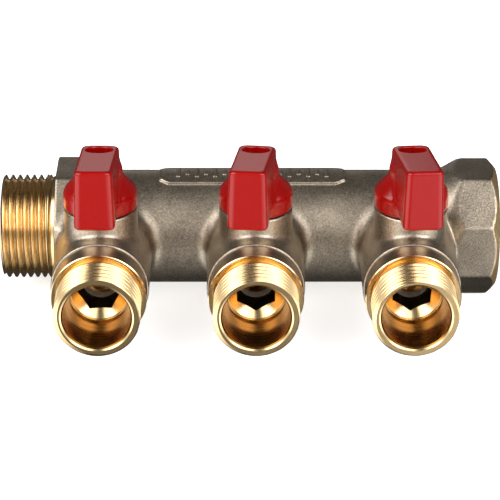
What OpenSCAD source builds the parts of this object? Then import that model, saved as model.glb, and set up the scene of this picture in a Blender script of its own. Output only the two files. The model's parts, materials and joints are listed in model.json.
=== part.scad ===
// Underfloor heating manifold: one forged pipe with three ball valve branches, each turned by a
// quarter-turn lever. The origin is the centre of the inlet's end face. +X runs along the pipe to
// the female end, the outlets point along -Y, and the stems and levers stand up along +Z.

/* [Pipe] */
// Length of the whole body
pipe_l = 125.8; // [122:0.1:140]
// Outer diameter of the plain pipe
pipe_d = 28.9; // [28:0.1:30]
// Bore of the pipe
bore_d = 21; // [18:0.5:21]
// Size across the flats of the octagonal collar behind the inlet
collar_af = 33; // [31:0.1:34]
// Size across the flats of the octagonal female end
end_octagon_af = 32.4; // [31:0.1:34]
// Distance from the inlet's end face to the first branch
first_branch_x = 26.3; // [25:0.1:28]
// Distance between the branches
branch_pitch = 38; // [36:0.5:42]
// Number of branches
branch_count = 3; // [3:1:3]

/* [Inlet thread G 3/4] */
// Outer diameter of the inlet's thread
inlet_major_d = 26.441; // [26.2:0.001:26.441]
// Length of the threaded stretch
inlet_thread_l = 12.1; // [10:0.1:12.4]
// Start of the octagonal collar behind the thread
collar_x = 13.8; // [13.6:0.1:14.2]
// Width of the octagonal collar
collar_w = 10; // [8:0.5:11]

/* [Female end G 3/4] */
// Inner diameter of the crests of the female thread
socket_minor_d = 24.117; // [24.1:0.001:24.3]
// Depth of the female socket
socket_l = 15; // [13:0.5:16]
// Length of the octagon with its shoulder
end_octagon_l = 14.7; // [13:0.1:16]

/* [Branch outlet G 1/2] */
// Distance from the pipe's axis to the outlet's end face
outlet_reach = 51; // [50.5:0.1:53]
// Diameter of the forged barrel
barrel_d = 24; // [23:0.5:25]
// Distance from the pipe's axis to the end of the forged barrel
barrel_l = 35.5; // [35:0.5:36]
// Diameter of the turned collar before the thread
turned_d = 23.2; // [22.5:0.1:23.4]
// Distance from the pipe's axis to the front face of the turned collar
turned_l = 41; // [40.8:0.1:41.2]
// Outer diameter of the outlet's thread
outlet_major_d = 20.955; // [20.8:0.001:20.955]
// Bore of the outlet's mouth
mouth_d = 16.4; // [16:0.1:17]
// Distance from the pipe's axis to the ledge inside the mouth
ledge_l = 40.6; // [40.4:0.1:41]

/* [Valve] */
// Distance from the pipe's axis to the stem's axis
stem_l = 23; // [22.8:0.1:23.2]
// Diameter of the ball
ball_d = 13.8; // [13.6:0.1:13.8]
// Waterway through the ball
waterway_d = 9; // [8:0.5:9]
// Diameter of the valve chamber
chamber_d = 14.24; // [14.2:0.02:14.4]
// Diameter of the stem's neck
neck_d = 18; // [17.8:0.1:18.2]
// Height of the neck's top above the pipe's axis
neck_top = 16.4; // [16.3:0.1:16.5]

/* [Lever] */
// Distance from the stem's axis to the lever's front face
lever_reach = 22.5; // [20:0.5:25]
// Width of the lever at its foot
lever_foot_w = 9.8; // [9.4:0.1:10.4]
// Width of the lever at its top
lever_top_w = 8.9; // [8.5:0.1:9.2]
// Height of the lever's top at its front face
lever_tip_z = 35.5; // [34.5:0.5:36]
// Height of the lever's top over the stem
lever_stem_z = 31.4; // [31:0.1:32]
// Diameter of the lever's round hub
hub_d = 18.2; // [17.8:0.1:18.4]

/* [Hidden] */
VALVE_PARTS = [
  "lever", "lever_screw", "stem", "upper_stem_oring", "lower_stem_oring", "gland_washer",
  "gland_nut", "ball", "rear_seat", "front_seat", "retaining_ring"
];

$fn = 96;
tiny = 0.01;
overrun = 1;

// Whitworth pipe threads G 3/4 and G 1/2 share one pitch and one depth
pitch = 1.814;
thread_depth = 1.162;
crest_w = 0.36;
root_w = 0.30;

// Turn of each lever away from square to the pipe, as each one was left
rest_turn = [-0.7, -5.7, 3.5];
// Turn of each retaining ring's key hole, where 0 puts a flat of the hexagon at the bottom
key_turn = [2, 30, 26];

pipe_r = pipe_d / 2;
bore_r = bore_d / 2;
octagon_turn = 22.5;
end_corner_r = end_octagon_af / 2 / cos(octagon_turn);
inlet_chamfer = 0.5;
inlet_band_r = 12.8;
socket_chamfer = 1.2;
shoulder_x = pipe_l - end_octagon_l;
shoulder_l = 5.5;
end_cone_l = 2.2;
end_face_r = 15;

panel_x0 = 40.1;
panel_x1 = 87.1;
panel_half_w = 4.7;
panel_cut_x = 2.3;
panel_cut_y = 1.5;
panel_h = 0.6;

barrel_r = barrel_d / 2;
turned_r = turned_d / 2;
outlet_relief = 0.7;
outlet_chamfer = 0.45;
mouth_r = mouth_d / 2;
mouth_chamfer = 0.7;
chamber_r = chamber_d / 2;
chamber_l0 = 14.8;
port_r = 4.75;

ball_r = ball_d / 2;
waterway_r = waterway_d / 2;
seat_gap = 0.06;
seat_r = chamber_r - 0.06;
seat_bore_r = 4.6;
rear_seat_l0 = chamber_l0 + 0.05;
front_seat_l1 = 31.15;

ring_r = chamber_r - 0.05;
ring_l0 = 31.2;
ring_l1 = 38;
ring_cone_l = 1.4;
key_af = 9.3;
key_l0 = 32.2;
ring_groove_pitch = 1;
ring_groove_depth = 0.45;

neck_r = neck_d / 2;
journal_bore_r = 3.1;
journal_r = 3.03;
stem_bore_r = 4.05;
stem_r = 4;
stem_seat_z = 9;
gland_floor_z = 13;
gland_bore_r = 5.45;
gland_r = 5.38;
gland_hole_r = 3.27;
shank_r = 3.2;
square_z = 17;
square_af = 4.4;
stem_top_z = 24;
tang_w = 2.4;
tang_l = 5.6;
tang_z = 5.35;
slot_w = 2.5;
slot_floor_z = 5.25;
groove_w = 1.2;
groove_floor_r = 3;
oring_section_r = 0.5;
oring_r = 3.52;
lower_groove_z = 10.15;
upper_groove_z = 11.95;

stop_r0 = 6;
stop_r1 = 7.4;
stop_h = 1.7;
stop_angle = 18;
// The lever's pocket lets the stop travel from 4 degrees past square to fully closed
pocket_start = 76;
pocket_angle = 114;

hub_r = hub_d / 2;
hub_z0 = neck_top + 0.3;
hub_z1 = 20.8;
boss_r = 5.55;
boss_z0 = 24.6;
boss_z1 = 27.2;
lever_foot_z = 20.1;
lever_back = 5.3;
lever_corner_r = 1.2;
lever_back_r = 1.7;
lever_wall = 1.7;
web_z0 = 24.1;
web_z1 = 26;
screw_access_r = 3.3;
screw_head_r = 2.7;
screw_head_h = 1.9;
screw_shank_r = 1.45;
screw_hole_r = 1.6;
screw_tip_z = 18.5;

function branch_x(n) = first_branch_x + (n - 1) * branch_pitch;

// Profile of a male thread from h0 to h1, as points of radius and height: flat crests, V flanks
function male_thread_points(crest_r, h0, h1) =
  let (turns = floor((h1 - h0 - crest_w) / pitch))
  let (flank_w = (pitch - crest_w - root_w) / 2)
  [for (i = [0 : turns - 1], p = [
    [crest_r, h0 + i * pitch + crest_w],
    [crest_r - thread_depth, h0 + i * pitch + crest_w + flank_w],
    [crest_r - thread_depth, h0 + i * pitch + crest_w + flank_w + root_w],
    [crest_r, h0 + (i + 1) * pitch]
  ]) p];

// Turns a profile of radius and height about the X axis, height along +X
module along_x() {
  rotate([90, 0, 90]) rotate_extrude() children();
}

// Turns a profile of radius and distance about a branch's axis, distance along -Y
module along_branch(n) {
  translate([branch_x(n), 0, 0]) rotate([90, 0, 0]) rotate_extrude() children();
}

// Places a branch's turning parts at their rest turn on the stem's axis
module on_stem(n) {
  translate([branch_x(n), -stem_l, 0]) rotate([0, 0, rest_turn[n - 1]]) children();
}

module octagon_bar(across_flats, x0, x1) {
  translate([x0, 0, 0]) rotate([90, 0, 90]) rotate([0, 0, octagon_turn])
    cylinder(r = across_flats / 2 / cos(octagon_turn), h = x1 - x0, $fn = 8);
}

module pipe_outside() {
  inlet_r = inlet_major_d / 2;
  along_x() polygon(concat(
    [[0, 0], [inlet_r - inlet_chamfer, 0], [inlet_r, inlet_chamfer]],
    male_thread_points(inlet_r, inlet_chamfer, inlet_thread_l),
    [
      [inlet_r, inlet_thread_l], [inlet_band_r, inlet_thread_l + 0.4],
      [inlet_band_r, collar_x], [pipe_r, collar_x],
      [pipe_r, shoulder_x + overrun], [0, shoulder_x + overrun]
    ]
  ));
}

module collar() {
  octagon_bar(collar_af, collar_x, collar_x + collar_w);
}

module end_octagon() {
  intersection() {
    octagon_bar(end_octagon_af, shoulder_x, pipe_l);
    along_x() polygon([
      [0, shoulder_x], [pipe_r, shoulder_x],
      [end_corner_r + 0.1, shoulder_x + shoulder_l],
      [end_corner_r + 0.1, pipe_l - end_cone_l],
      [end_face_r, pipe_l], [0, pipe_l]
    ]);
  }
}

// Low raised panel along the top of the pipe, an oblong with cut corners seen from above
module top_panel() {
  panel_r = pipe_r + panel_h;
  corner_y = panel_half_w - panel_cut_y;
  intersection() {
    along_x() polygon([
      [pipe_r - overrun, panel_x0 - overrun], [panel_r, panel_x0 - overrun],
      [panel_r, panel_x1 + overrun], [pipe_r - overrun, panel_x1 + overrun]
    ]);
    linear_extrude(2 * pipe_r) polygon([
      [panel_x0 + panel_cut_x, -panel_half_w], [panel_x1 - panel_cut_x, -panel_half_w],
      [panel_x1, -corner_y], [panel_x1, corner_y],
      [panel_x1 - panel_cut_x, panel_half_w], [panel_x0 + panel_cut_x, panel_half_w],
      [panel_x0, corner_y], [panel_x0, -corner_y]
    ]);
  }
}

module branch_outside(n) {
  outlet_r = outlet_major_d / 2;
  thread_l0 = turned_l + 0.6;
  thread_l1 = outlet_reach - outlet_chamfer;
  along_branch(n) polygon(concat(
    [[0, 0], [barrel_r, 0], [barrel_r, barrel_l - 0.4], [barrel_r - 0.4, barrel_l]],
    [[turned_r, barrel_l], [turned_r, turned_l]],
    [[outlet_r - outlet_relief, turned_l], [outlet_r, thread_l0]],
    male_thread_points(outlet_r, thread_l0, thread_l1),
    [[outlet_r, thread_l1], [outlet_r - outlet_chamfer, outlet_reach], [0, outlet_reach]]
  ));
}

module neck_outside(n) {
  translate([branch_x(n), -stem_l, 0]) {
    rotate_extrude() polygon([
      [0, 0], [neck_r, 0], [neck_r, neck_top - 0.4], [neck_r - 0.4, neck_top], [0, neck_top]
    ]);
    rotate([0, 0, 90 - stop_angle / 2]) rotate_extrude(angle = stop_angle)
      translate([stop_r0, neck_top - overrun]) square([stop_r1 - stop_r0, stop_h + overrun]);
  }
}

module pipe_inside() {
  socket_r = socket_minor_d / 2;
  groove_r = socket_r + thread_depth;
  flank_w = (pitch - crest_w - root_w) / 2;
  turns = floor((socket_l - 3) / pitch);
  thread_x0 = pipe_l - socket_chamfer - turns * pitch;
  along_x() polygon(concat(
    [[0, -overrun], [bore_r, -overrun], [bore_r, pipe_l - socket_l], [socket_r, pipe_l - socket_l]],
    [for (i = [0 : turns - 1], p = [
      [socket_r, thread_x0 + i * pitch],
      [groove_r, thread_x0 + i * pitch + flank_w],
      [groove_r, thread_x0 + i * pitch + flank_w + root_w],
      [socket_r, thread_x0 + i * pitch + 2 * flank_w + root_w]
    ]) p],
    [
      [socket_r, pipe_l - socket_chamfer], [socket_r + socket_chamfer, pipe_l],
      [socket_r + socket_chamfer, pipe_l + overrun], [0, pipe_l + overrun]
    ]
  ));
}

module branch_inside(n) {
  along_branch(n) polygon([
    [0, 0], [port_r, 0], [port_r, chamber_l0], [chamber_r, chamber_l0],
    [chamber_r, ledge_l], [mouth_r, ledge_l], [mouth_r, outlet_reach - mouth_chamfer],
    [mouth_r + mouth_chamfer, outlet_reach],
    [mouth_r + mouth_chamfer, outlet_reach + overrun], [0, outlet_reach + overrun]
  ]);
}

module neck_inside(n) {
  translate([branch_x(n), -stem_l, 0]) rotate_extrude() polygon([
    [0, 0], [journal_bore_r, 0], [journal_bore_r, stem_seat_z], [stem_bore_r, stem_seat_z],
    [stem_bore_r, gland_floor_z], [gland_bore_r, gland_floor_z],
    [gland_bore_r, neck_top + overrun], [0, neck_top + overrun]
  ]);
}

module manifold_body() {
  color("tan") difference() {
    union() {
      pipe_outside();
      collar();
      end_octagon();
      top_panel();
      for (n = [1 : branch_count]) {
        branch_outside(n);
        neck_outside(n);
      }
    }
    pipe_inside();
    for (n = [1 : branch_count]) {
      branch_inside(n);
      neck_inside(n);
    }
  }
}

// One rounded end of the lever's outline, reaching from the stem's axis to y = end
module lever_end(end, corner_r) {
  half_w = lever_foot_w / 2;
  outward = sign(end);
  corner_x = half_w - corner_r;
  translate([-half_w, min(0, end + corner_r)]) square([lever_foot_w, abs(end) - corner_r]);
  translate([-corner_x, min(0, end)]) square([2 * corner_x, abs(end)]);
  for (side = [-1, 1])
    translate([side * corner_x, end - outward * corner_r]) circle(r = corner_r);
}

// Lever outline seen from above
module lever_plan() {
  lever_end(-lever_reach, lever_corner_r);
  lever_end(lever_back, lever_back_r);
}

// Lever seen from the side, with its top rising towards the front; inset shrinks it for the core
module lever_side(inset) {
  slope = (lever_tip_z - lever_stem_z) / lever_reach;
  back_y = lever_back + 1;
  polygon([
    [-lever_reach + inset, lever_foot_z],
    [-lever_reach + inset, lever_tip_z - inset - (inset == 0 ? 0.8 : 0)],
    [-lever_reach + 0.8 + inset, lever_tip_z - inset - 0.8 * slope],
    [back_y, lever_stem_z - slope * back_y - inset],
    [back_y, lever_foot_z]
  ]);
}

module lever_block() {
  intersection() {
    translate([0, 0, lever_foot_z]) linear_extrude(lever_tip_z) lever_plan();
    rotate([90, 0, 90]) linear_extrude(2 * lever_foot_w, center = true) lever_side(0);
    rotate([90, 0, 0]) linear_extrude(4 * lever_reach, center = true) polygon([
      [-lever_foot_w / 2, lever_foot_z], [lever_foot_w / 2, lever_foot_z],
      [lever_top_w / 2, lever_tip_z], [-lever_top_w / 2, lever_tip_z]
    ]);
  }
}

// The hollow under the arm, open at the bottom
module lever_core() {
  core_w = lever_top_w - 2 * lever_wall;
  intersection() {
    rotate([90, 0, 90]) linear_extrude(core_w, center = true) lever_side(lever_wall);
    translate([-core_w / 2, lever_wall - lever_reach, lever_foot_z - overrun])
      cube([core_w, lever_reach - lever_wall - hub_r - 1, lever_tip_z]);
  }
}

module lever(n) {
  color("firebrick") on_stem(n) difference() {
    union() {
      rotate_extrude() polygon([
        [0, hub_z0], [hub_r - 0.4, hub_z0], [hub_r, hub_z0 + 0.4], [hub_r, hub_z1],
        [boss_r, boss_z0], [boss_r, boss_z1], [0, boss_z1]
      ]);
      lever_block();
    }
    lever_core();
    translate([0, 0, hub_z0 - overrun]) cylinder(r = shank_r + 0.15, h = square_z - hub_z0 + overrun);
    translate([0, 0, (square_z + web_z0) / 2 - tiny])
      cube([square_af + 0.1, square_af + 0.1, web_z0 - square_z + 2 * tiny], center = true);
    translate([0, 0, web_z0 - overrun]) cylinder(r = screw_hole_r, h = web_z1 - web_z0 + 2 * overrun);
    translate([0, 0, web_z1]) cylinder(r = screw_access_r, h = lever_tip_z);
    rotate([0, 0, pocket_start]) rotate_extrude(angle = pocket_angle)
      translate([stop_r0 - 0.3, hub_z0 - overrun])
        square([stop_r1 - stop_r0 + 0.6, stop_h + overrun + 0.1]);
  }
}

module lever_screw(n) {
  recess_w = 0.7;
  recess_l = 3;
  color("silver") on_stem(n) difference() {
    rotate_extrude() polygon([
      [0, screw_tip_z], [screw_shank_r - 0.5, screw_tip_z], [screw_shank_r, screw_tip_z + 0.5],
      [screw_shank_r, web_z1 + 0.02], [screw_head_r, web_z1 + 0.02],
      [screw_head_r, web_z1 + screw_head_h - 0.5],
      [screw_head_r - 0.7, web_z1 + screw_head_h], [0, web_z1 + screw_head_h]
    ]);
    for (turn = [0, 90])
      translate([0, 0, web_z1 + screw_head_h]) rotate([0, 0, turn])
        cube([recess_l, recess_w, 2.2], center = true);
  }
}

module stem(n) {
  color("goldenrod") on_stem(n) difference() {
    union() {
      rotate_extrude() polygon([
        [0, tang_z + 1.9], [journal_r, tang_z + 1.9],
        [journal_r, stem_seat_z + 0.05], [stem_r, stem_seat_z + 0.05],
        [stem_r, lower_groove_z - groove_w / 2], [groove_floor_r, lower_groove_z - groove_w / 2],
        [groove_floor_r, lower_groove_z + groove_w / 2], [stem_r, lower_groove_z + groove_w / 2],
        [stem_r, upper_groove_z - groove_w / 2], [groove_floor_r, upper_groove_z - groove_w / 2],
        [groove_floor_r, upper_groove_z + groove_w / 2], [stem_r, upper_groove_z + groove_w / 2],
        [stem_r, gland_floor_z - 0.05], [shank_r, gland_floor_z - 0.05],
        [shank_r, square_z], [0, square_z]
      ]);
      translate([0, 0, (square_z + stem_top_z) / 2 - tiny])
        cube([square_af, square_af, stem_top_z - square_z], center = true);
      translate([-tang_l / 2, -tang_w / 2, tang_z]) cube([tang_l, tang_w, 2]);
    }
    translate([0, 0, screw_tip_z - 1]) cylinder(r = screw_shank_r + 0.03, h = stem_top_z);
  }
}

module stem_oring(n, height) {
  color("dimgray") on_stem(n) translate([0, 0, height]) rotate_extrude()
    translate([oring_r, 0]) circle(r = oring_section_r, $fn = 32);
}

module gland_washer(n) {
  color("white") translate([branch_x(n), -stem_l, 0]) rotate_extrude()
    translate([gland_hole_r, gland_floor_z + 0.02]) square([gland_r - gland_hole_r, 0.5]);
}

module gland_nut(n) {
  nut_z0 = gland_floor_z + 0.55;
  slot = 1.2;
  color("goldenrod") translate([branch_x(n), -stem_l, 0]) difference() {
    rotate_extrude() polygon([
      [gland_hole_r, nut_z0], [gland_r, nut_z0],
      [gland_r, neck_top - 0.3], [gland_r - 0.3, neck_top], [gland_hole_r, neck_top]
    ]);
    translate([0, 0, neck_top]) cube([3 * gland_r, slot, 2 * slot - 0.8], center = true);
  }
}

module ball(n) {
  color("gainsboro") on_stem(n) difference() {
    sphere(r = ball_r);
    rotate([90, 0, 0]) cylinder(r = waterway_r, h = 3 * ball_r, center = true);
    translate([-ball_r, -slot_w / 2, slot_floor_z]) cube([2 * ball_r, slot_w, ball_r]);
  }
}

// Seat ring whose 45 degree face looks at the ball; side is -1 behind the ball and 1 in front
module seat(n, side, flat_l, rim) {
  face_sum = (ball_r + seat_gap) * sqrt(2);
  color("ivory") along_branch(n) polygon([
    [seat_bore_r, flat_l], [seat_r, flat_l],
    [seat_r, stem_l + side * rim], [face_sum - rim, stem_l + side * rim],
    [seat_bore_r, stem_l + side * (face_sum - seat_bore_r)]
  ]);
}

module retaining_ring(n) {
  grooves = 4;
  key_corner_r = key_af / 2 / cos(30);
  color("goldenrod") translate([branch_x(n), 0, 0]) rotate([90, 0, 0]) difference() {
    rotate_extrude() polygon(concat(
      [[0, ring_l0], [ring_r - 0.4, ring_l0], [ring_r, ring_l0 + 0.4]],
      [for (i = [1 : grooves], p = [
        [ring_r, ring_l0 + i * ring_groove_pitch - 0.35],
        [ring_r - ring_groove_depth, ring_l0 + i * ring_groove_pitch],
        [ring_r, ring_l0 + i * ring_groove_pitch + 0.35]
      ]) p],
      [[ring_r, ring_l1], [0, ring_l1]]
    ));
    translate([0, 0, ring_l0 - overrun]) cylinder(r = seat_bore_r, h = ring_l1);
    translate([0, 0, key_l0]) rotate([0, 0, key_turn[n - 1]])
      cylinder(r = key_corner_r, h = ring_l1, $fn = 6);
    translate([0, 0, ring_l1 - ring_cone_l])
      cylinder(r1 = key_af / 2, r2 = ring_r - 0.2, h = ring_cone_l + tiny);
  }
}

manifold_body();
for (n = [1 : branch_count]) {
  lever(n);
  lever_screw(n);
  stem(n);
  stem_oring(n, upper_groove_z);
  stem_oring(n, lower_groove_z);
  gland_washer(n);
  gland_nut(n);
  ball(n);
  seat(n, -1, rear_seat_l0, 3.1);
  seat(n, 1, front_seat_l1, 3.1);
  retaining_ring(n);
}
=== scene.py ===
"""Underfloor heating manifold: visual pieces, materials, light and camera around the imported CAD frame.
Lengths are in millimetres in the part's own frame, and become metres when a mesh or an object is made."""

import json
import math

import bpy
import numpy as np
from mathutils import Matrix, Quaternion, Vector


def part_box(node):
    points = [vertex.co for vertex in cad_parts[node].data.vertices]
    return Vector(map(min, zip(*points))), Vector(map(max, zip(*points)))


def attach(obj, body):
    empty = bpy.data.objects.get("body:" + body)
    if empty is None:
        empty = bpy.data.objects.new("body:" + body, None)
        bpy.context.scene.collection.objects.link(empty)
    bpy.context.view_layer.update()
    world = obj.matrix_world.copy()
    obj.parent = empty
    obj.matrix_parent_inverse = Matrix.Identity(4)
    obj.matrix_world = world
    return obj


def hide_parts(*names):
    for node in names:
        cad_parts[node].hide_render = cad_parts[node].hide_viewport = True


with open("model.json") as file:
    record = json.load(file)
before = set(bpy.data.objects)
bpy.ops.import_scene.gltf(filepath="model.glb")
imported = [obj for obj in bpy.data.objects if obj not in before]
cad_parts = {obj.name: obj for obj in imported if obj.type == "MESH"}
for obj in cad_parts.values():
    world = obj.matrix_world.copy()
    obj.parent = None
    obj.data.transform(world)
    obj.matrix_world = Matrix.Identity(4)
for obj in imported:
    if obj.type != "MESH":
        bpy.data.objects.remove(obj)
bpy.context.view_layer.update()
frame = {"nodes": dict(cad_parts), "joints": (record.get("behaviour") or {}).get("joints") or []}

MM = 0.001

# ---------------------------------------------------------------- dimensions, as in the part
BODY_LOW, BODY_HIGH = (np.array(corner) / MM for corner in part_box("manifold_body"))
PIPE_L = float(BODY_HIGH[0])
OUTLET_REACH = -float(BODY_LOW[1])
PIPE_R = 14.45
BORE_R = 10.5
COLLAR_R = 16.5
END_R = 16.2
END_CORNER_R = END_R / math.cos(math.radians(22.5))
COLLAR_X = 13.8
COLLAR_W = 10.0
SHOULDER_X = PIPE_L - 14.7
SHOULDER_L = 5.5
END_CONE_L = 2.2
END_FACE_R = 15.0
PANEL_X0, PANEL_X1 = 40.1, 87.1
PANEL_HALF_W = 4.7
PANEL_CUT_X, PANEL_CUT_Y = 2.3, 1.5
PANEL_H = 0.6
BARREL_R = 12.0
BARREL_L = 35.5
TURNED_R = 11.6
TURNED_L = 41.0
MOUTH_R = 8.2
LEDGE_L = 40.6
CHAMBER_R = 7.12
CHAMBER_L0 = 14.8
PORT_R = 4.75
STEM_L = 23.0
NECK_R = 9.0
NECK_TOP = 16.4
KEY_CORNER_R = 5.4
RING_CONE_L0 = 36.6
STOP_R = 6.7
STOP_HALF_R = 0.7
STOP_HALF_W = 1.0
STOP_H = 1.7
PITCH = 1.814
THREAD_DEPTH = 1.162
INLET_R = 26.441 / 2
INLET_THREAD_L = 12.1
INLET_CHAMFER = 0.5
INLET_BAND_R = 13.1
OUTLET_R = 20.955 / 2
SOCKET_R = 24.117 / 2
SOCKET_L = 15.0
SOCKET_CHAMFER = 1.2
BRANCHES = [1, 2, 3]
BRANCH_X = {
    n: next(j["pos_m"][0] for j in frame["joints"] if j["name"] == f"valve_{n}_turn") / MM for n in BRANCHES
}
REST_TURN = {1: -0.7, 2: -5.7, 3: 3.5}
# Radius and floor height of each step of the stem's bore, a little clear of the part's own bore,
# because the forging's mesh is coarser than the stem's fit
NECK_BORES = ((3.22, 0.0), (4.25, 8.7), (5.55, 12.85))


# ---------------------------------------------------------------- distance fields
def smooth_min(a, b, k):
    """The smaller of two distances, with the edge between them rounded over about k millimetres."""
    h = np.maximum(k - np.abs(a - b), 0) / k
    return np.minimum(a, b) - h * h * k / 4


def smooth_max(a, b, k):
    return -smooth_min(-a, -b, k)


def octagon(y, z, flat_r, k):
    """Distance outside an octagonal bar along the pipe."""
    half = math.sqrt(0.5)
    square = smooth_max(np.abs(y), np.abs(z), k)
    diamond = smooth_max(np.abs(y + z) * half, np.abs(y - z) * half, k)
    return smooth_max(square, diamond, k) - flat_r


def cone(radius, x, r0, x0, slope):
    """Distance outside a cone whose radius is r0 at x0 and grows by slope."""
    return (radius - r0 - slope * (x - x0)) / math.hypot(1, slope)


def panel_plan(x, y):
    """Distance outside the raised panel's outline, an oblong with cut corners."""
    beyond_x = np.abs(x - (PANEL_X0 + PANEL_X1) / 2) - (PANEL_X1 - PANEL_X0) / 2
    beyond_y = np.abs(y) - PANEL_HALF_W
    slant = (beyond_x + PANEL_CUT_X) * PANEL_CUT_Y + (beyond_y + PANEL_CUT_Y) * PANEL_CUT_X
    slant = (slant - PANEL_CUT_X * PANEL_CUT_Y) / math.hypot(PANEL_CUT_X, PANEL_CUT_Y)
    return smooth_max(smooth_max(beyond_x, beyond_y + 0 * x, 0.3), slant, 0.3)


def forging(x, y, z):
    """The nickel-plated forging, without the threads and the turned ends."""
    radius = np.hypot(y, z)
    body = radius - PIPE_R + 0 * x

    beside_collar = np.abs(x - COLLAR_X - COLLAR_W / 2) - COLLAR_W / 2
    collar = smooth_max(octagon(y, z, COLLAR_R, 0.5), beside_collar, 0.5)
    body = smooth_min(body, collar, 0.9)

    panel = smooth_max(smooth_max(radius - PIPE_R - PANEL_H, panel_plan(x, y), 0.35), -z, 0.3)
    body = smooth_min(body, panel, 0.3)

    for n in BRANCHES:
        across = x - BRANCH_X[n]
        barrel = smooth_max(np.hypot(across, z) - BARREL_R, -y - BARREL_L, 0.5)
        barrel = smooth_max(barrel, y, 2.0)
        neck_radius = np.hypot(across, y + STEM_L)
        neck = smooth_max(smooth_max(neck_radius - NECK_R, z - NECK_TOP, 0.5), -z, 1.0)
        branch = smooth_min(barrel, neck, 1.6)
        body = smooth_min(body, branch, 3.2)
        stop = smooth_max(np.abs(neck_radius - STOP_R) - STOP_HALF_R, np.abs(across) - STOP_HALF_W, 0.2)
        stop = smooth_max(smooth_max(stop, z - NECK_TOP - STOP_H, 0.2), NECK_TOP - 2 - z, 0.2)
        body = np.minimum(body, smooth_max(stop, -y - STEM_L, 0.2))

    shoulder_slope = (END_CORNER_R - PIPE_R) / SHOULDER_L
    shoulder = cone(radius, x, PIPE_R, SHOULDER_X, shoulder_slope)
    end = smooth_max(octagon(y, z, END_R, 0.5), shoulder, 0.5)
    end_slope = (END_FACE_R - END_CORNER_R) / END_CONE_L
    end = smooth_max(end, cone(radius, x, END_FACE_R, PIPE_L, end_slope), 0.2)
    body = smooth_min(body, end, 0.6)

    socket_space = np.maximum(radius - SOCKET_R - SOCKET_CHAMFER, PIPE_L - SOCKET_L - x)
    hollow = np.minimum(radius - BORE_R, socket_space)
    for n in BRANCHES:
        across = x - BRANCH_X[n]
        around = np.hypot(across, z)
        chamber = np.maximum(around - CHAMBER_R, y + CHAMBER_L0)
        port = np.maximum(around - PORT_R, y)
        neck_radius = np.hypot(across, y + STEM_L)
        for r, z0 in NECK_BORES:
            hollow = np.minimum(hollow, np.maximum(neck_radius - r, z0 - z))
        hollow = np.minimum(hollow, np.minimum(chamber, port))
    body = smooth_max(body, -hollow, 0.3)
    return smooth_max(smooth_max(body, COLLAR_X - x, 0.4), x - PIPE_L, 0.2)


LEVER_REACH = 22.5
LEVER_BACK = 5.3
LEVER_FOOT_Z = 20.1
LEVER_TIP_Z = 35.5
LEVER_STEM_Z = 31.4
LEVER_FOOT_W = 9.8
LEVER_TOP_W = 8.9
HUB_R = 9.1
HUB_Z0 = 16.7
HUB_Z1 = 20.8
BOSS_R = 5.55
BOSS_Z0 = 24.6
BOSS_Z1 = 27.2
WEB_Z0, WEB_Z1 = 24.1, 26.0
LEVER_WALL = 1.7
SHANK_BORE_R = 3.35
SQUARE_Z = 17
SQUARE_HALF_W = 2.25
PILOT_R = 1.6
ACCESS_R = 3.3
# The pocket under the hub in which the neck's stop runs, in degrees about the stem
POCKET_MIDDLE = 133
POCKET_HALF_ANGLE = 57
POCKET_HALF_R = 1.0
POCKET_H = 1.8
ARC_PER_DEGREE = 0.117


def lever_field(x, y, z):
    """A lever at its stem's axis, square to the pipe."""
    slope = (LEVER_TIP_Z - LEVER_STEM_Z) / LEVER_REACH
    top = (z - LEVER_STEM_Z + slope * y) / math.hypot(1, slope)
    lever_h = LEVER_TIP_Z - LEVER_FOOT_Z
    half_w = LEVER_FOOT_W / 2 - (LEVER_FOOT_W - LEVER_TOP_W) / 2 * (z - LEVER_FOOT_Z) / lever_h
    block = smooth_max(np.abs(x) - half_w, -y - LEVER_REACH, 1.7)
    block = smooth_max(block, y - LEVER_BACK, 2.2)
    block = smooth_max(smooth_max(block, top, 1.1), LEVER_FOOT_Z - z, 1.1)

    radius = np.hypot(x, y)
    hub_cone = (BOSS_R - HUB_R) / (BOSS_Z0 - HUB_Z1)
    hub = smooth_max(radius - HUB_R, cone(radius, z, HUB_R, HUB_Z1, hub_cone), 0.9)
    hub = smooth_max(hub, z - BOSS_Z0 - 0.2, 0.3)
    boss = smooth_max(radius - BOSS_R, z - BOSS_Z1, 0.9)
    hub = smooth_min(hub, boss, 0.8)
    hub = smooth_max(hub, HUB_Z0 - z, 0.7)
    body = smooth_min(hub, block, 1.0)

    core = np.maximum(np.abs(x) - LEVER_TOP_W / 2 + LEVER_WALL, top + LEVER_WALL)
    core = np.maximum(core, np.maximum(LEVER_WALL - LEVER_REACH - y, y + HUB_R + 1))
    bore = np.maximum(radius - SHANK_BORE_R, z - SQUARE_Z)
    square = np.maximum(np.maximum(np.abs(x), np.abs(y)) - SQUARE_HALF_W, z - WEB_Z0)
    pilot = radius - PILOT_R
    access = np.maximum(radius - ACCESS_R, WEB_Z1 - z)
    pocket = np.maximum(np.abs(radius - STOP_R) - POCKET_HALF_R, z - HUB_Z0 - POCKET_H)
    from_middle = (np.degrees(np.arctan2(y, x)) - POCKET_MIDDLE + 180) % 360 - 180
    pocket = np.maximum(pocket, (np.abs(from_middle) - POCKET_HALF_ANGLE) * ARC_PER_DEGREE)
    hollow = np.minimum.reduce([core + 0 * x, bore, square + 0 * x, pilot + 0 * z, access, pocket])
    return smooth_max(body, -hollow, 0.35)


BAR_PITCH = 2.35
BAR_COUNT = 17
BAR_HALF_W = 0.55
BAR_HALF_L = 2.0
BAR_HALF_L_CHANGE = 0.5
BAR_H = 0.3


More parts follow.
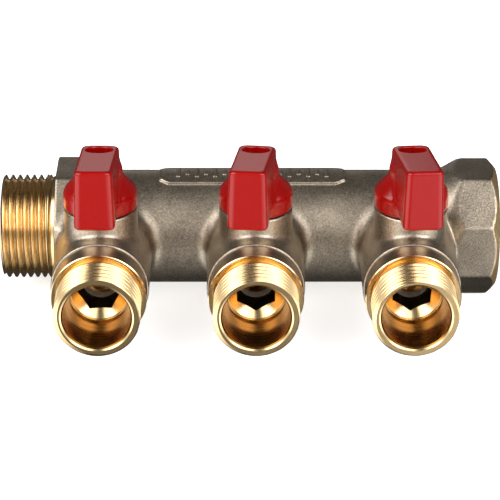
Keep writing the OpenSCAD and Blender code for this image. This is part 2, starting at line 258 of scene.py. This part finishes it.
def bar_field(x, y, z):
    """A row of low bars along the raised panel, long and short in turn."""
    middle = (PANEL_X0 + PANEL_X1) / 2
    index = np.clip(np.round((x - middle) / BAR_PITCH), -(BAR_COUNT // 2), BAR_COUNT // 2)
    radius = np.hypot(y, z)
    along = np.abs(x - middle - index * BAR_PITCH) - BAR_HALF_W
    around = np.abs(np.arctan2(y, z)) * PIPE_R - BAR_HALF_L - BAR_HALF_L_CHANGE * np.cos(math.pi * index)
    bar = smooth_max(smooth_max(along, around + 0 * x, 0.45), radius - PIPE_R - PANEL_H - BAR_H, 0.3)
    return smooth_max(bar, PIPE_R - 0.3 - radius, 0.1)


# ---------------------------------------------------------------- meshes
def gradient(field, points, reach=0.01):
    slopes = []
    for axis in range(3):
        shift = np.zeros(3)
        shift[axis] = reach
        slopes.append((field(*(points + shift).T) - field(*(points - shift).T)) / (2 * reach))
    return np.stack(slopes, axis=1)


def onto_surface(field, points, steps, limit):
    """Moves points along the field's slope to its zero level, by at most limit in each step."""
    for _ in range(steps):
        slope = gradient(field, points)
        length2 = np.maximum((slope**2).sum(1), 0.05)
        move = slope * (field(*points.T) / length2)[:, None]
        size = np.maximum(np.linalg.norm(move, axis=1), 1e-9)
        points = points - move * np.minimum(1, limit / size)[:, None]
    return points


def surface_net(field, low, high, step, rounds=4):
    """Points, quads and normals of a distance field's zero level, evened out in some rounds."""
    relaxing = 0.6
    counts = [int(math.ceil((b - a) / step)) + 1 for a, b in zip(low, high)]
    axes = [a + step * np.arange(c) for a, c in zip(low, counts)]
    value = field(*np.meshgrid(*axes, indexing="ij", sparse=True))
    inside = value < 0
    corners = sum(
        inside[i : i + counts[0] - 1, j : j + counts[1] - 1, k : k + counts[2] - 1].astype(np.int8)
        for i in (0, 1)
        for j in (0, 1)
        for k in (0, 1)
    )
    mixed = (corners > 0) & (corners < 8)
    number = np.full(mixed.shape, -1, np.int64)
    number[mixed] = np.arange(mixed.sum())
    cells = np.argwhere(mixed)
    points = np.array(low) + step * (cells + 0.5)

    quads = []
    for axis in range(3):
        b, c = (axis + 1) % 3, (axis + 2) % 3
        first = np.take(inside, range(counts[axis] - 1), axis)
        second = np.take(inside, range(1, counts[axis]), axis)
        at = np.argwhere(first != second)
        within = (at[:, b] > 0) & (at[:, b] < counts[b] - 1)
        at = at[within & (at[:, c] > 0) & (at[:, c] < counts[c] - 1)]
        loop = []
        for db, dc in ((-1, -1), (0, -1), (0, 0), (-1, 0)):
            cell = at.copy()
            cell[:, b] += db
            cell[:, c] += dc
            loop.append(number[tuple(cell.T)])
        loop = np.stack(loop, axis=1)
        outward = inside[tuple(at.T)]
        loop[~outward] = loop[~outward][:, ::-1]
        quads.append(loop)
    quads = np.concatenate(quads)

    edges = np.concatenate([quads[:, [i, (i + 1) % 4]] for i in range(4)])
    degree = np.bincount(edges.ravel(), minlength=len(points))[:, None]
    points = onto_surface(field, points, 2, step)
    for _ in range(rounds):
        total = np.stack(
            [
                np.bincount(edges[:, 0], points[edges[:, 1], a], len(points))
                + np.bincount(edges[:, 1], points[edges[:, 0], a], len(points))
                for a in range(3)
            ],
            axis=1,
        )
        slope = gradient(field, points)
        slope /= np.maximum(np.linalg.norm(slope, axis=1), 1e-9)[:, None]
        move = total / degree - points
        move -= slope * (move * slope).sum(1)[:, None]
        points = onto_surface(field, points + relaxing * move, 1, step / 2)
    points = onto_surface(field, points, 3, step / 2)
    slope = gradient(field, points, 0.05)
    normals = slope / np.maximum(np.linalg.norm(slope, axis=1), 1e-9)[:, None]
    return points, quads, normals


def new_mesh(name, points, faces, normals=None):
    mesh = bpy.data.meshes.new(name)
    mesh.vertices.add(len(points))
    mesh.vertices.foreach_set("co", (np.asarray(points) * MM).astype(np.float32).ravel())
    mesh.loops.add(faces.size)
    mesh.loops.foreach_set("vertex_index", faces.astype(np.int32).ravel())
    mesh.polygons.add(len(faces))
    mesh.polygons.foreach_set("loop_start", np.arange(0, faces.size, faces.shape[1], dtype=np.int32))
    mesh.update(calc_edges=True)
    mesh.validate()
    mesh.shade_smooth()
    if normals is not None:
        mesh.normals_split_custom_set_from_vertices(normals.astype(np.float32).tolist())
    return mesh


def piece(name, mesh, body, slot, *materials, place=(0, 0, 0), turn=0.0, replaces=()):
    """A visual piece that rides on a body, in place of the named CAD nodes."""
    made = bpy.data.objects.new(name, mesh)
    bpy.context.scene.collection.objects.link(made)
    made.location = Vector(place) * MM
    made.rotation_euler.z = math.radians(turn)
    if not mesh.materials:
        for material in materials:
            mesh.materials.append(material)
    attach(made, body)
    if replaces:
        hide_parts(*replaces)
    return made


def thread_depth_at(turns):
    """Depth below the crest of a V thread, turns of a pitch past it, with rounded crests and roots."""
    sharpness = 0.985
    wave = np.arcsin(sharpness * np.cos(2 * math.pi * turns)) / math.asin(sharpness)
    wave = np.tanh(2.2 * wave**3 + 1.1 * wave) / math.tanh(3.3)
    return THREAD_DEPTH * (1 - wave) / 2


def ring_mesh(name, stations, segments, along):
    """A closed ring from stations of (height, radius, material of the strip that follows), where radius
    is a number or a function of height and angle. along maps height, and two coordinates across, to
    x, y, z."""
    angle = 2 * math.pi * np.arange(segments) / segments
    cos, sin = np.cos(angle), np.sin(angle)
    origin = along(np.zeros(1), np.zeros(1), np.zeros(1))
    rows, profile, smooth = [], [], []
    for height, radius, _ in stations:
        h = np.full(segments, float(height))
        if callable(radius):
            r = radius(h, angle)
            reach = 0.03
            rise = (radius(h + reach, angle) - radius(h - reach, angle)) / (2 * reach)
            spin = (radius(h, angle + reach / r) - radius(h, angle - reach / r)) / (2 * reach)
            smooth.append(along(-rise, cos + spin * sin, sin - spin * cos) - origin)
        else:
            r = np.full(segments, float(radius))
            smooth.append(None)
        rows.append(along(h, r * cos, r * sin))
        profile.append((height, r.mean()))
    count = len(stations)
    i, j = np.meshgrid(np.arange(count), np.arange(segments), indexing="ij")
    i2, j2 = (i + 1) % count, (j + 1) % segments
    loops = [i * segments + j, i * segments + j2, i2 * segments + j2, i2 * segments + j]
    faces = np.stack(loops, axis=-1).reshape(-1, 4)

    corner_normals = np.zeros((count, segments, 4, 3))
    for k in range(count):
        nxt = (k + 1) % count
        (h0, r0), (h1, r1) = profile[k], profile[nxt]
        length = max(math.hypot(h1 - h0, r1 - r0), 1e-9)
        rise, out = -(r1 - r0) / length, (h1 - h0) / length
        flat = along(np.full(segments, rise), out * cos, out * sin) - origin
        both = smooth[k] is not None and smooth[nxt] is not None
        way = math.copysign(1, h1 - h0)
        first = smooth[k] * way if both else flat
        second = smooth[nxt] * way if both else flat
        corner_normals[k, :, 0] = first
        corner_normals[k, :, 1] = np.roll(first, -1, axis=0)
        corner_normals[k, :, 2] = np.roll(second, -1, axis=0)
        corner_normals[k, :, 3] = second
    normals = corner_normals.reshape(-1, 3)
    normals /= np.maximum(np.linalg.norm(normals, axis=1), 1e-9)[:, None]

    mesh = new_mesh(name, np.concatenate(rows), faces)
    mesh.normals_split_custom_set(normals.astype(np.float32).tolist())
    kinds = np.repeat([kind for _, _, kind in stations], segments)
    mesh.polygons.foreach_set("material_index", kinds.astype(np.int32))
    return mesh


def threaded(crest_r, h0, h1, first_crest, sign, kind, limit, run_in=0.0, run_out=0.0, step=0.06):
    """Stations of a right-hand helical thread between h0 and h1. sign is 1 for a male thread, -1 for a
    female one. limit gives the furthest radius at a height, as at a chamfer."""

    def radius(h, angle):
        fade = np.ones_like(h)
        if run_in:
            fade = np.minimum(fade, (h - h0) / run_in)
        if run_out:
            fade = np.minimum(fade, (h1 - h) / run_out)
        fade = np.clip(fade, 0, 1)
        fade = fade * fade * (3 - 2 * fade)
        depth = thread_depth_at((h - first_crest) / PITCH - angle / (2 * math.pi))
        if sign > 0:
            return np.minimum(crest_r - fade * depth, limit(h))
        return np.maximum(crest_r + fade * (THREAD_DEPTH - depth), limit(h))

    return [(h, radius, kind) for h in np.linspace(h0, h1, int(round((h1 - h0) / step)) + 1)]


def along_pipe(h, u, v):
    return np.stack([h, u, v], axis=1)


def along_branch(n):
    return lambda h, u, v: np.stack([BRANCH_X[n] + u, -h, v], axis=1)


# ---------------------------------------------------------------- materials
def add(tree, kind, inputs=(), **settings):
    """A new node whose inputs are linked to sockets or set to values."""
    made = tree.nodes.new(kind)
    for key, value in settings.items():
        setattr(made, key, value)
    for key, value in dict(inputs).items():
        if isinstance(value, bpy.types.NodeSocket):
            tree.links.new(value, made.inputs[key])
        else:
            made.inputs[key].default_value = value
    return made


def calc(tree, operation, *values):
    return add(tree, "ShaderNodeMath", dict(enumerate(values)), operation=operation).outputs[0]


def ramp(tree, factor, stops, smooth=False):
    made = add(tree, "ShaderNodeValToRGB", {0: factor})
    made.color_ramp.interpolation = "EASE" if smooth else "LINEAR"
    elements = made.color_ramp.elements
    while len(elements) > 1:
        elements.remove(elements[-1])
    for i, (place, color) in enumerate(stops):
        stop = elements[0] if i == 0 else elements.new(place)
        stop.position = place
        stop.color = (*color, 1) if hasattr(color, "__len__") else (color, color, color, 1)
    return made.outputs[0]


def mix(tree, factor, a, b):
    made = add(tree, "ShaderNodeMix", {0: factor}, data_type="RGBA")
    for i, value in ((6, a), (7, b)):
        if isinstance(value, bpy.types.NodeSocket):
            tree.links.new(value, made.inputs[i])
        else:
            made.inputs[i].default_value = (*value, 1)
    return made.outputs[2]


def start(name, **values):
    material = bpy.data.materials.new(name)
    material.use_nodes = True
    tree = material.node_tree
    shader = tree.nodes["Principled BSDF"]
    for key, value in values.items():
        socket = shader.inputs[key.replace("_", " ")]
        socket.default_value = (*value, 1) if hasattr(value, "__len__") else value
    place = add(tree, "ShaderNodeTexCoord").outputs["Object"]
    in_mm = add(tree, "ShaderNodeVectorMath", {0: place, "Scale": 1 / MM}, operation="SCALE").outputs[0]
    return material, tree, shader, in_mm


def noise(tree, vector, scale, detail=2.0, rough=0.5):
    made = add(
        tree,
        "ShaderNodeTexNoise",
        {"Vector": vector, "Scale": scale, "Detail": detail, "Roughness": rough},
    )
    return made.outputs["Fac"]


def brightened(color, factor):
    return tuple(min(1, c * factor) for c in color)


def bump(tree, shader, height, strength, depth_mm):
    made = add(
        tree, "ShaderNodeBump", {"Height": height, "Strength": strength, "Distance": depth_mm * MM}
    )
    tree.links.new(made.outputs[0], shader.inputs["Normal"])


NICKEL = (0.42, 0.355, 0.275)
BRASS = (0.86, 0.62, 0.32)
SHADED_MOUTH_BRASS = (0.36, 0.17, 0.035)
# Dark orange-brown brass, painted shade inside the outlet mouths' bores
RECESS_SHADE_BRASS = (0.05, 0.035, 0.022)
# Near-black brass, painted shade for the retaining ring's key hole
TURNED_NICKEL = (0.50, 0.40, 0.29)
RED = (0.275, 0.0015, 0.0006)
CHROME = (0.62, 0.62, 0.64)
PTFE = (0.86, 0.85, 0.80)
RUBBER = (0.025, 0.025, 0.026)
ZINC = (0.50, 0.50, 0.47)


def turned_lines(tree, in_mm, axis):
    """Fine lines left by the lathe, which run round the pipe (axis 0), a branch (1) or a stem (2), with
    the radius about that axis and the place's three coordinates."""
    parts = add(tree, "ShaderNodeSeparateXYZ", {0: in_mm}).outputs
    half = (BRANCH_X[2] - BRANCH_X[1]) / 2
    from_start = calc(tree, "SUBTRACT", parts[0], BRANCH_X[1] - half)
    from_branch = calc(tree, "FLOORED_MODULO", from_start, 2 * half)
    beside = calc(tree, "SUBTRACT", from_branch, half)
    behind = calc(tree, "ADD", parts[1], STEM_L)
    across = {0: (parts[1], parts[2]), 1: (beside, parts[2]), 2: (beside, behind)}[axis]
    squares = [calc(tree, "MULTIPLY", value, value) for value in across]
    radius = calc(tree, "SQRT", calc(tree, "ADD", *squares))
    flat = add(tree, "ShaderNodeCombineXYZ", {0: radius, 1: parts[axis]}).outputs[0]
    return noise(tree, flat, scale=7.0, detail=3.0, rough=0.6), radius, parts


def nickel_forging():
    """Blasted nickel plating, with bare brass inside the female end and on its turned outer cone."""
    material, tree, shader, in_mm = start("nickel_forging", Metallic=1.0)
    blast = noise(tree, in_mm, scale=2.1, detail=3.0, rough=0.6)
    cloud = noise(tree, in_mm, scale=0.16)
    tone = calc(tree, "ADD", calc(tree, "MULTIPLY", blast, 0.7), calc(tree, "MULTIPLY", cloud, 0.3))
    stops = [(0.34, brightened(NICKEL, 0.62)), (0.5, NICKEL), (0.66, brightened(NICKEL, 1.4))]
    plated = ramp(tree, tone, stops)
    _, radius, parts = turned_lines(tree, in_mm, 0)
    bored = calc(tree, "LESS_THAN", radius, SOCKET_R + SOCKET_CHAMFER + 0.25)
    end_slope = (END_FACE_R - END_CORNER_R) / END_CONE_L
    from_end = calc(tree, "SUBTRACT", parts[0], PIPE_L)
    cone_r = calc(tree, "ADD", calc(tree, "MULTIPLY", from_end, end_slope), END_FACE_R - 0.07)
    cut = calc(tree, "GREATER_THAN", radius, cone_r)
    cut = calc(tree, "MULTIPLY", cut, calc(tree, "GREATER_THAN", parts[0], PIPE_L - END_CONE_L - 0.1))
    bare = calc(tree, "MAXIMUM", bored, cut)
    tree.links.new(mix(tree, bare, plated, BRASS), shader.inputs["Base Color"])
    tree.links.new(ramp(tree, blast, [(0.3, 0.34), (0.7, 0.44)]), shader.inputs["Roughness"])
    bump(tree, shader, blast, strength=0.5, depth_mm=0.12)
    return material


def turned_metal(name, axis, color, roughness):
    material, tree, shader, in_mm = start(name, Metallic=1.0)
    lines, _, _ = turned_lines(tree, in_mm, axis)
    cloud = noise(tree, in_mm, scale=0.35)
    tone = calc(tree, "ADD", calc(tree, "MULTIPLY", lines, 0.6), calc(tree, "MULTIPLY", cloud, 0.4))
    stops = [(0.3, brightened(color, 0.84)), (0.5, color), (0.7, brightened(color, 1.08))]
    tree.links.new(ramp(tree, tone, stops), shader.inputs["Base Color"])
    rough = ramp(tree, lines, [(0.3, roughness * 0.75), (0.7, roughness * 1.3)])
    tree.links.new(rough, shader.inputs["Roughness"])
    bump(tree, shader, lines, strength=0.5, depth_mm=0.02)
    return material


def plain_grain(name, color, grain, depth, spread, **values):
    material, tree, shader, in_mm = start(name, **values)
    fine = noise(tree, in_mm, grain, detail=3.0)
    cloud = noise(tree, in_mm, scale=0.25)
    tone = calc(tree, "ADD", calc(tree, "MULTIPLY", fine, 0.5), calc(tree, "MULTIPLY", cloud, 0.5))
    stops = [(0.3, brightened(color, 1 - spread)), (0.7, brightened(color, 1 + spread))]
    tree.links.new(ramp(tree, tone, stops), shader.inputs["Base Color"])
    rough = values["Roughness"]
    tree.links.new(ramp(tree, fine, [(0.3, rough * 0.9), (0.7, rough * 1.12)]), shader.inputs["Roughness"])
    bump(tree, shader, fine, strength=0.4, depth_mm=depth)
    return material


def ring_brass():
    """The retaining ring's brass, with painted shade inside its hexagonal key hole: near-black and rougher
    there.
    """
    material, tree, shader, in_mm = start("retaining_ring_brass", Metallic=1.0)
    lines, radius, parts = turned_lines(tree, in_mm, 1)
    inside = calc(tree, "LESS_THAN", radius, KEY_CORNER_R)
    deep = calc(tree, "GREATER_THAN", parts[1], -RING_CONE_L0)
    # Painted shade: inside the key hole's corner radius and deeper than the ring's cone, the brass turns
    # near-black
    painted_shade = calc(tree, "MULTIPLY", inside, deep)
    color = mix(tree, painted_shade, BRASS, RECESS_SHADE_BRASS)
    tree.links.new(color, shader.inputs["Base Color"])
    rough = ramp(tree, lines, [(0.3, 0.13), (0.7, 0.22)])
    tree.links.new(calc(tree, "ADD", rough, calc(tree, "MULTIPLY", painted_shade, 0.4)), shader.inputs["Roughness"])
    bump(tree, shader, lines, strength=0.5, depth_mm=0.02)
    return material


nickel = nickel_forging()
turned_nickel = turned_metal("turned_nickel", 1, TURNED_NICKEL, 0.3)
brass_branch = turned_metal("turned_brass_branch", 1, BRASS, 0.15)
shaded_brass_mouth = turned_metal("turned_brass_mouth", 1, SHADED_MOUTH_BRASS, 0.24)
brass_pipe = turned_metal("turned_brass_pipe", 0, BRASS, 0.16)
brass_stem = turned_metal("turned_brass_stem", 2, BRASS, 0.22)
red = plain_grain("red_plastic", RED, 1.6, 0.003, 0.02, Roughness=0.2, Specular_IOR_Level=0.42)
chrome = plain_grain("chromed_ball", CHROME, 0.8, 0.004, 0.04, Metallic=1.0, Roughness=0.07)
ptfe = plain_grain("ptfe", PTFE, 2.0, 0.02, 0.05, Roughness=0.45)
rubber = plain_grain("nitrile_rubber", RUBBER, 3.0, 0.02, 0.2, Roughness=0.55)
zinc = plain_grain("zinc_steel", ZINC, 1.4, 0.02, 0.12, Metallic=1.0, Roughness=0.33)

# ---------------------------------------------------------------- the body
NICKEL_STRIP, BRASS_STRIP, MOUTH_STRIP = 0, 1, 2
PIPE_SEGMENTS = 192
BRANCH_SEGMENTS = 176

points, faces, normals = surface_net(
    forging, (COLLAR_X - 1, -BARREL_L - 1, -18), (PIPE_L + 1, 18, 18.6), step=0.55
)
piece(
    "manifold_forging",
    new_mesh("manifold_forging", points, faces, normals),
    "manifold",
    "nickel_plated_brass",
    nickel,
    replaces=["manifold_body"],
)

points, faces, normals = surface_net(
    bar_field, (PANEL_X0, -3.4, PIPE_R - 1), (PANEL_X1, 3.4, PIPE_R + 1.4), step=0.16, rounds=2
)
piece(
    "panel_bars",
    new_mesh("panel_bars", points, faces, normals),
    "manifold",
    "nickel_plated_brass",
    nickel,
)


def inlet_limit(h):
    return INLET_R - np.maximum(0.0, INLET_CHAMFER - h)


inlet_first_crest = 0.53 - PITCH / 4
inlet_stations = [
    (COLLAR_X, BORE_R, 0),
    (INLET_CHAMFER, BORE_R, 0),
    (0.0, BORE_R + INLET_CHAMFER, 0),
]
inlet_stations += threaded(
    INLET_R, 0.0, INLET_THREAD_L, inlet_first_crest, 1, 0, inlet_limit, run_out=0.8
)
inlet_stations += [
    (INLET_THREAD_L + 0.3, 12.5, 0),
    (COLLAR_X - 0.15, INLET_BAND_R, 0),
    (COLLAR_X, INLET_BAND_R, 0),
]
inlet = ring_mesh("inlet_thread", inlet_stations, PIPE_SEGMENTS, along_pipe)
piece("inlet_thread", inlet, "manifold", "bare_brass", brass_pipe, replaces=["manifold_body"])


def socket_limit(h):
    return SOCKET_R + np.maximum(0.0, h - PIPE_L + SOCKET_CHAMFER)


liner_r = SOCKET_R + SOCKET_CHAMFER + 0.02
socket_floor_x = PIPE_L - SOCKET_L
socket_stations = [(socket_floor_x, SOCKET_R, 0), (socket_floor_x, liner_r, 0), (PIPE_L, liner_r, 0)]
socket_stations += threaded(
    SOCKET_R, socket_floor_x + 0.5, PIPE_L, 0.0, -1, 0, socket_limit, run_in=2.0
)[::-1]
socket = ring_mesh("female_socket", socket_stations, PIPE_SEGMENTS, along_pipe)
piece("female_socket", socket, "manifold", "bare_brass", brass_pipe, replaces=["manifold_body"])

THREAD_L0 = TURNED_L + 0.25
OUTLET_CHAMFER = 0.45
OUTLET_RELIEF = 0.8
MOUTH_CHAMFER = 0.7
# Each outlet's thread starts this much further along its branch than the one before
START_STEP = 0.15


def outlet_limit(h):
    start_r = OUTLET_R - OUTLET_RELIEF + 2 * (h - THREAD_L0)
    return np.minimum(OUTLET_R - np.maximum(0.0, h - OUTLET_REACH + OUTLET_CHAMFER), start_r)


for n in BRANCHES:
    stations = [
        (BARREL_L, CHAMBER_R, NICKEL_STRIP),
        (BARREL_L, TURNED_R, NICKEL_STRIP),
        (TURNED_L - 0.2, TURNED_R, BRASS_STRIP),
        (TURNED_L, TURNED_R - 0.2, BRASS_STRIP),
        (TURNED_L, OUTLET_R - OUTLET_RELIEF, BRASS_STRIP),
    ]
    stations += threaded(
        OUTLET_R, THREAD_L0, OUTLET_REACH, START_STEP * n, 1, BRASS_STRIP, outlet_limit, run_in=0.4
    )
    stations += [
        (OUTLET_REACH, MOUTH_R + MOUTH_CHAMFER, BRASS_STRIP),
        # From here to the ledge, the mouth's inner chamfer and bore take the brass with painted shade
        (OUTLET_REACH - 0.25, MOUTH_R + 0.3, MOUTH_STRIP),
        (OUTLET_REACH - MOUTH_CHAMFER, MOUTH_R, MOUTH_STRIP),
        (LEDGE_L, MOUTH_R, BRASS_STRIP),
        (LEDGE_L, CHAMBER_R, BRASS_STRIP),
    ]
    outlet = ring_mesh(f"branch_outlet_{n}", stations, BRANCH_SEGMENTS, along_branch(n))
    piece(
        f"branch_outlet_{n}",
        outlet,
        "manifold",
        "bare_brass",
        turned_nickel,
        brass_branch,
        shaded_brass_mouth,
        replaces=["manifold_body"],
    )

# ---------------------------------------------------------------- the levers
points, faces, normals = surface_net(
    lever_field, (-10, -LEVER_REACH - 1, HUB_Z0 - 1), (10, 10, LEVER_TIP_Z + 1), step=0.33
)
lever_mesh = new_mesh("valve_lever", points, faces, normals)
for n in BRANCHES:
    piece(
        f"valve_lever_{n}",
        lever_mesh,
        f"valve_{n}",
        "red_plastic",
        red,
        place=(BRANCH_X[n], -STEM_L, 0),
        turn=REST_TURN[n],
        replaces=[f"lever_{n}"],
    )

# ---------------------------------------------------------------- the CAD nodes that stay
CAD_MATERIALS = {
    "lever_screw": zinc,
    "stem": brass_stem,
    "upper_stem_oring": rubber,
    "lower_stem_oring": rubber,
    "gland_washer": ptfe,
    "gland_nut": brass_stem,
    "ball": chrome,
    "rear_seat": ptfe,
    "front_seat": ptfe,
    "retaining_ring": ring_brass(),
}
for part, material in CAD_MATERIALS.items():
    for n in BRANCHES:
        for slot in frame["nodes"][f"{part}_{n}"].material_slots:
            slot.material = material

# ---------------------------------------------------------------- floor, light, camera
FLOOR_HALF = 3000.0
FLOOR_Z = -16.52
floor_mesh = bpy.data.meshes.new("floor")
corners = [(-1, -1), (1, -1), (1, 1), (-1, 1)]
floor_points = [(u * FLOOR_HALF * MM, v * FLOOR_HALF * MM, FLOOR_Z * MM) for u, v in corners]
floor_mesh.from_pydata(floor_points, [], [(0, 1, 2, 3)])
floor = bpy.data.objects.new("floor", floor_mesh)
bpy.context.scene.collection.objects.link(floor)
floor_material, _, _, _ = start(
    "pale_floor",
    Base_Color=(0.93, 0.93, 0.93),
    Roughness=0.9,
    Specular_IOR_Level=0.0,
    Emission_Color=(1.0, 1.0, 1.0),
    Emission_Strength=0.68,
)
floor.visible_glossy = False
floor_mesh.materials.append(floor_material)

world = bpy.data.worlds.new("studio")
bpy.context.scene.world = world
world.use_nodes = True
tree = world.node_tree
direction = add(tree, "ShaderNodeTexCoord").outputs["Generated"]
dx, dy, dz = add(tree, "ShaderNodeSeparateXYZ", {0: direction}).outputs
turn = calc(tree, "ARCTAN2", dz, calc(tree, "MULTIPLY", dy, -1.0))
share = calc(tree, "ADD", calc(tree, "DIVIDE", turn, 2 * math.pi), 0.5)
# Light by angle about the pipe: 0 is level in front, 90 straight up, 180 level behind, and negative below
MIDDLE = [
    (-180, 0.05), (-110, 0.05), (-70, 0.04), (-45, 0.09), (-26, 0.20), (0, 0.15), (40, 0.12), (76, 0.12),
    (98, 0.04), (112, 0.04), (124, 0.14), (150, 0.14), (164, 0.20), (170, 0.60), (180, 0.60),
]
WARM = (1.0, 0.985, 0.955)
middle = ramp(tree, share, [(a / 360 + 0.5, tuple(v * w for w in WARM)) for a, v in MIDDLE])
# Light on either side by height: 0 is straight down, 0.5 level, 1 straight up
height = calc(tree, "ADD", calc(tree, "MULTIPLY", dz, 0.5), 0.5)
LEFT = [
    (0.0, 0.4), (0.15, 0.8), (0.28, 1.3), (0.42, 1.0), (0.49, 0.4), (0.60, 0.45), (0.70, 2.8), (0.86, 2.6),
    (0.94, 1.2), (0.98, 0.3), (1.0, 0.1),
]
RIGHT = [
    (0.0, 0.5), (0.15, 0.7), (0.28, 1.2), (0.42, 1.0), (0.49, 0.4), (0.60, 0.45), (0.70, 2.8), (0.86, 2.6),
    (0.94, 1.2), (0.98, 0.3), (1.0, 0.1),
]
left = ramp(tree, height, LEFT)
right = ramp(tree, height, RIGHT)
# The sides get dark towards the back, on the right sooner than on the left
nearness = calc(tree, "ADD", calc(tree, "MULTIPLY", dy, -0.5), 0.5)
BACK_DARK = (0.05, 0.05, 0.05)
left_front = ramp(tree, nearness, [(0.38, 0.0), (0.54, 1.0)], smooth=True)
right_front = ramp(tree, nearness, [(0.50, 0.0), (0.64, 1.0)], smooth=True)
left = mix(tree, left_front, BACK_DARK, left)
right = mix(tree, right_front, BACK_DARK, right)
sides = mix(tree, calc(tree, "GREATER_THAN", dx, 0.0), left, right)
far = ramp(tree, calc(tree, "ABSOLUTE", dx), [(0.30, 0.9), (0.56, 2.0)], smooth=True)
sides = add(tree, "ShaderNodeVectorMath", {0: sides, 1: far}, operation="MULTIPLY").outputs[0]
# The dim gap between the bright sides lies a little to the left, and ends more sharply on its right
gap_side = calc(tree, "ADD", dx, 0.07)
right_of_gap = calc(tree, "MULTIPLY", gap_side, 1.2)
left_of_gap = calc(tree, "MULTIPLY", gap_side, -1.0)
from_gap = calc(tree, "MAXIMUM", right_of_gap, left_of_gap)
aside = ramp(tree, from_gap, [(0.13, 0.0), (0.23, 1.0)], smooth=True)
seen = mix(tree, aside, middle, sides)
# The camera sees plain white behind the object
camera_ray = add(tree, "ShaderNodeLightPath").outputs["Is Camera Ray"]
shown = mix(tree, camera_ray, seen, (1.0, 1.0, 1.0))
background = tree.nodes["Background"]
tree.links.new(shown, background.inputs["Color"])
background.inputs["Strength"].default_value = 1.0

bpy.context.scene.view_settings.view_transform = "Standard"

AZIMUTH = math.radians(0.38)
ELEVATION = math.radians(26.155)
ROLL = math.radians(0.15)
CAMERA_TARGET = (63.053, 0, -6.982)
CAMERA_DISTANCE = 594.413
LENS = 165.51576
SENSOR_W = 36
level = math.cos(ELEVATION)
look = Vector((math.sin(AZIMUTH) * level, math.cos(AZIMUTH) * level, -math.sin(ELEVATION)))
camera_data = bpy.data.cameras.new("camera")
camera = bpy.data.objects.new("camera", camera_data)
bpy.context.scene.collection.objects.link(camera)
camera.location = (Vector(CAMERA_TARGET) - CAMERA_DISTANCE * look) * MM
camera.rotation_euler = (look.to_track_quat("-Z", "Y") @ Quaternion((0, 0, 1), ROLL)).to_euler()
camera_data.sensor_width = SENSOR_W
camera_data.lens = LENS
camera_data.clip_start = 0.01
camera_data.clip_end = 20
bpy.context.scene.camera = camera
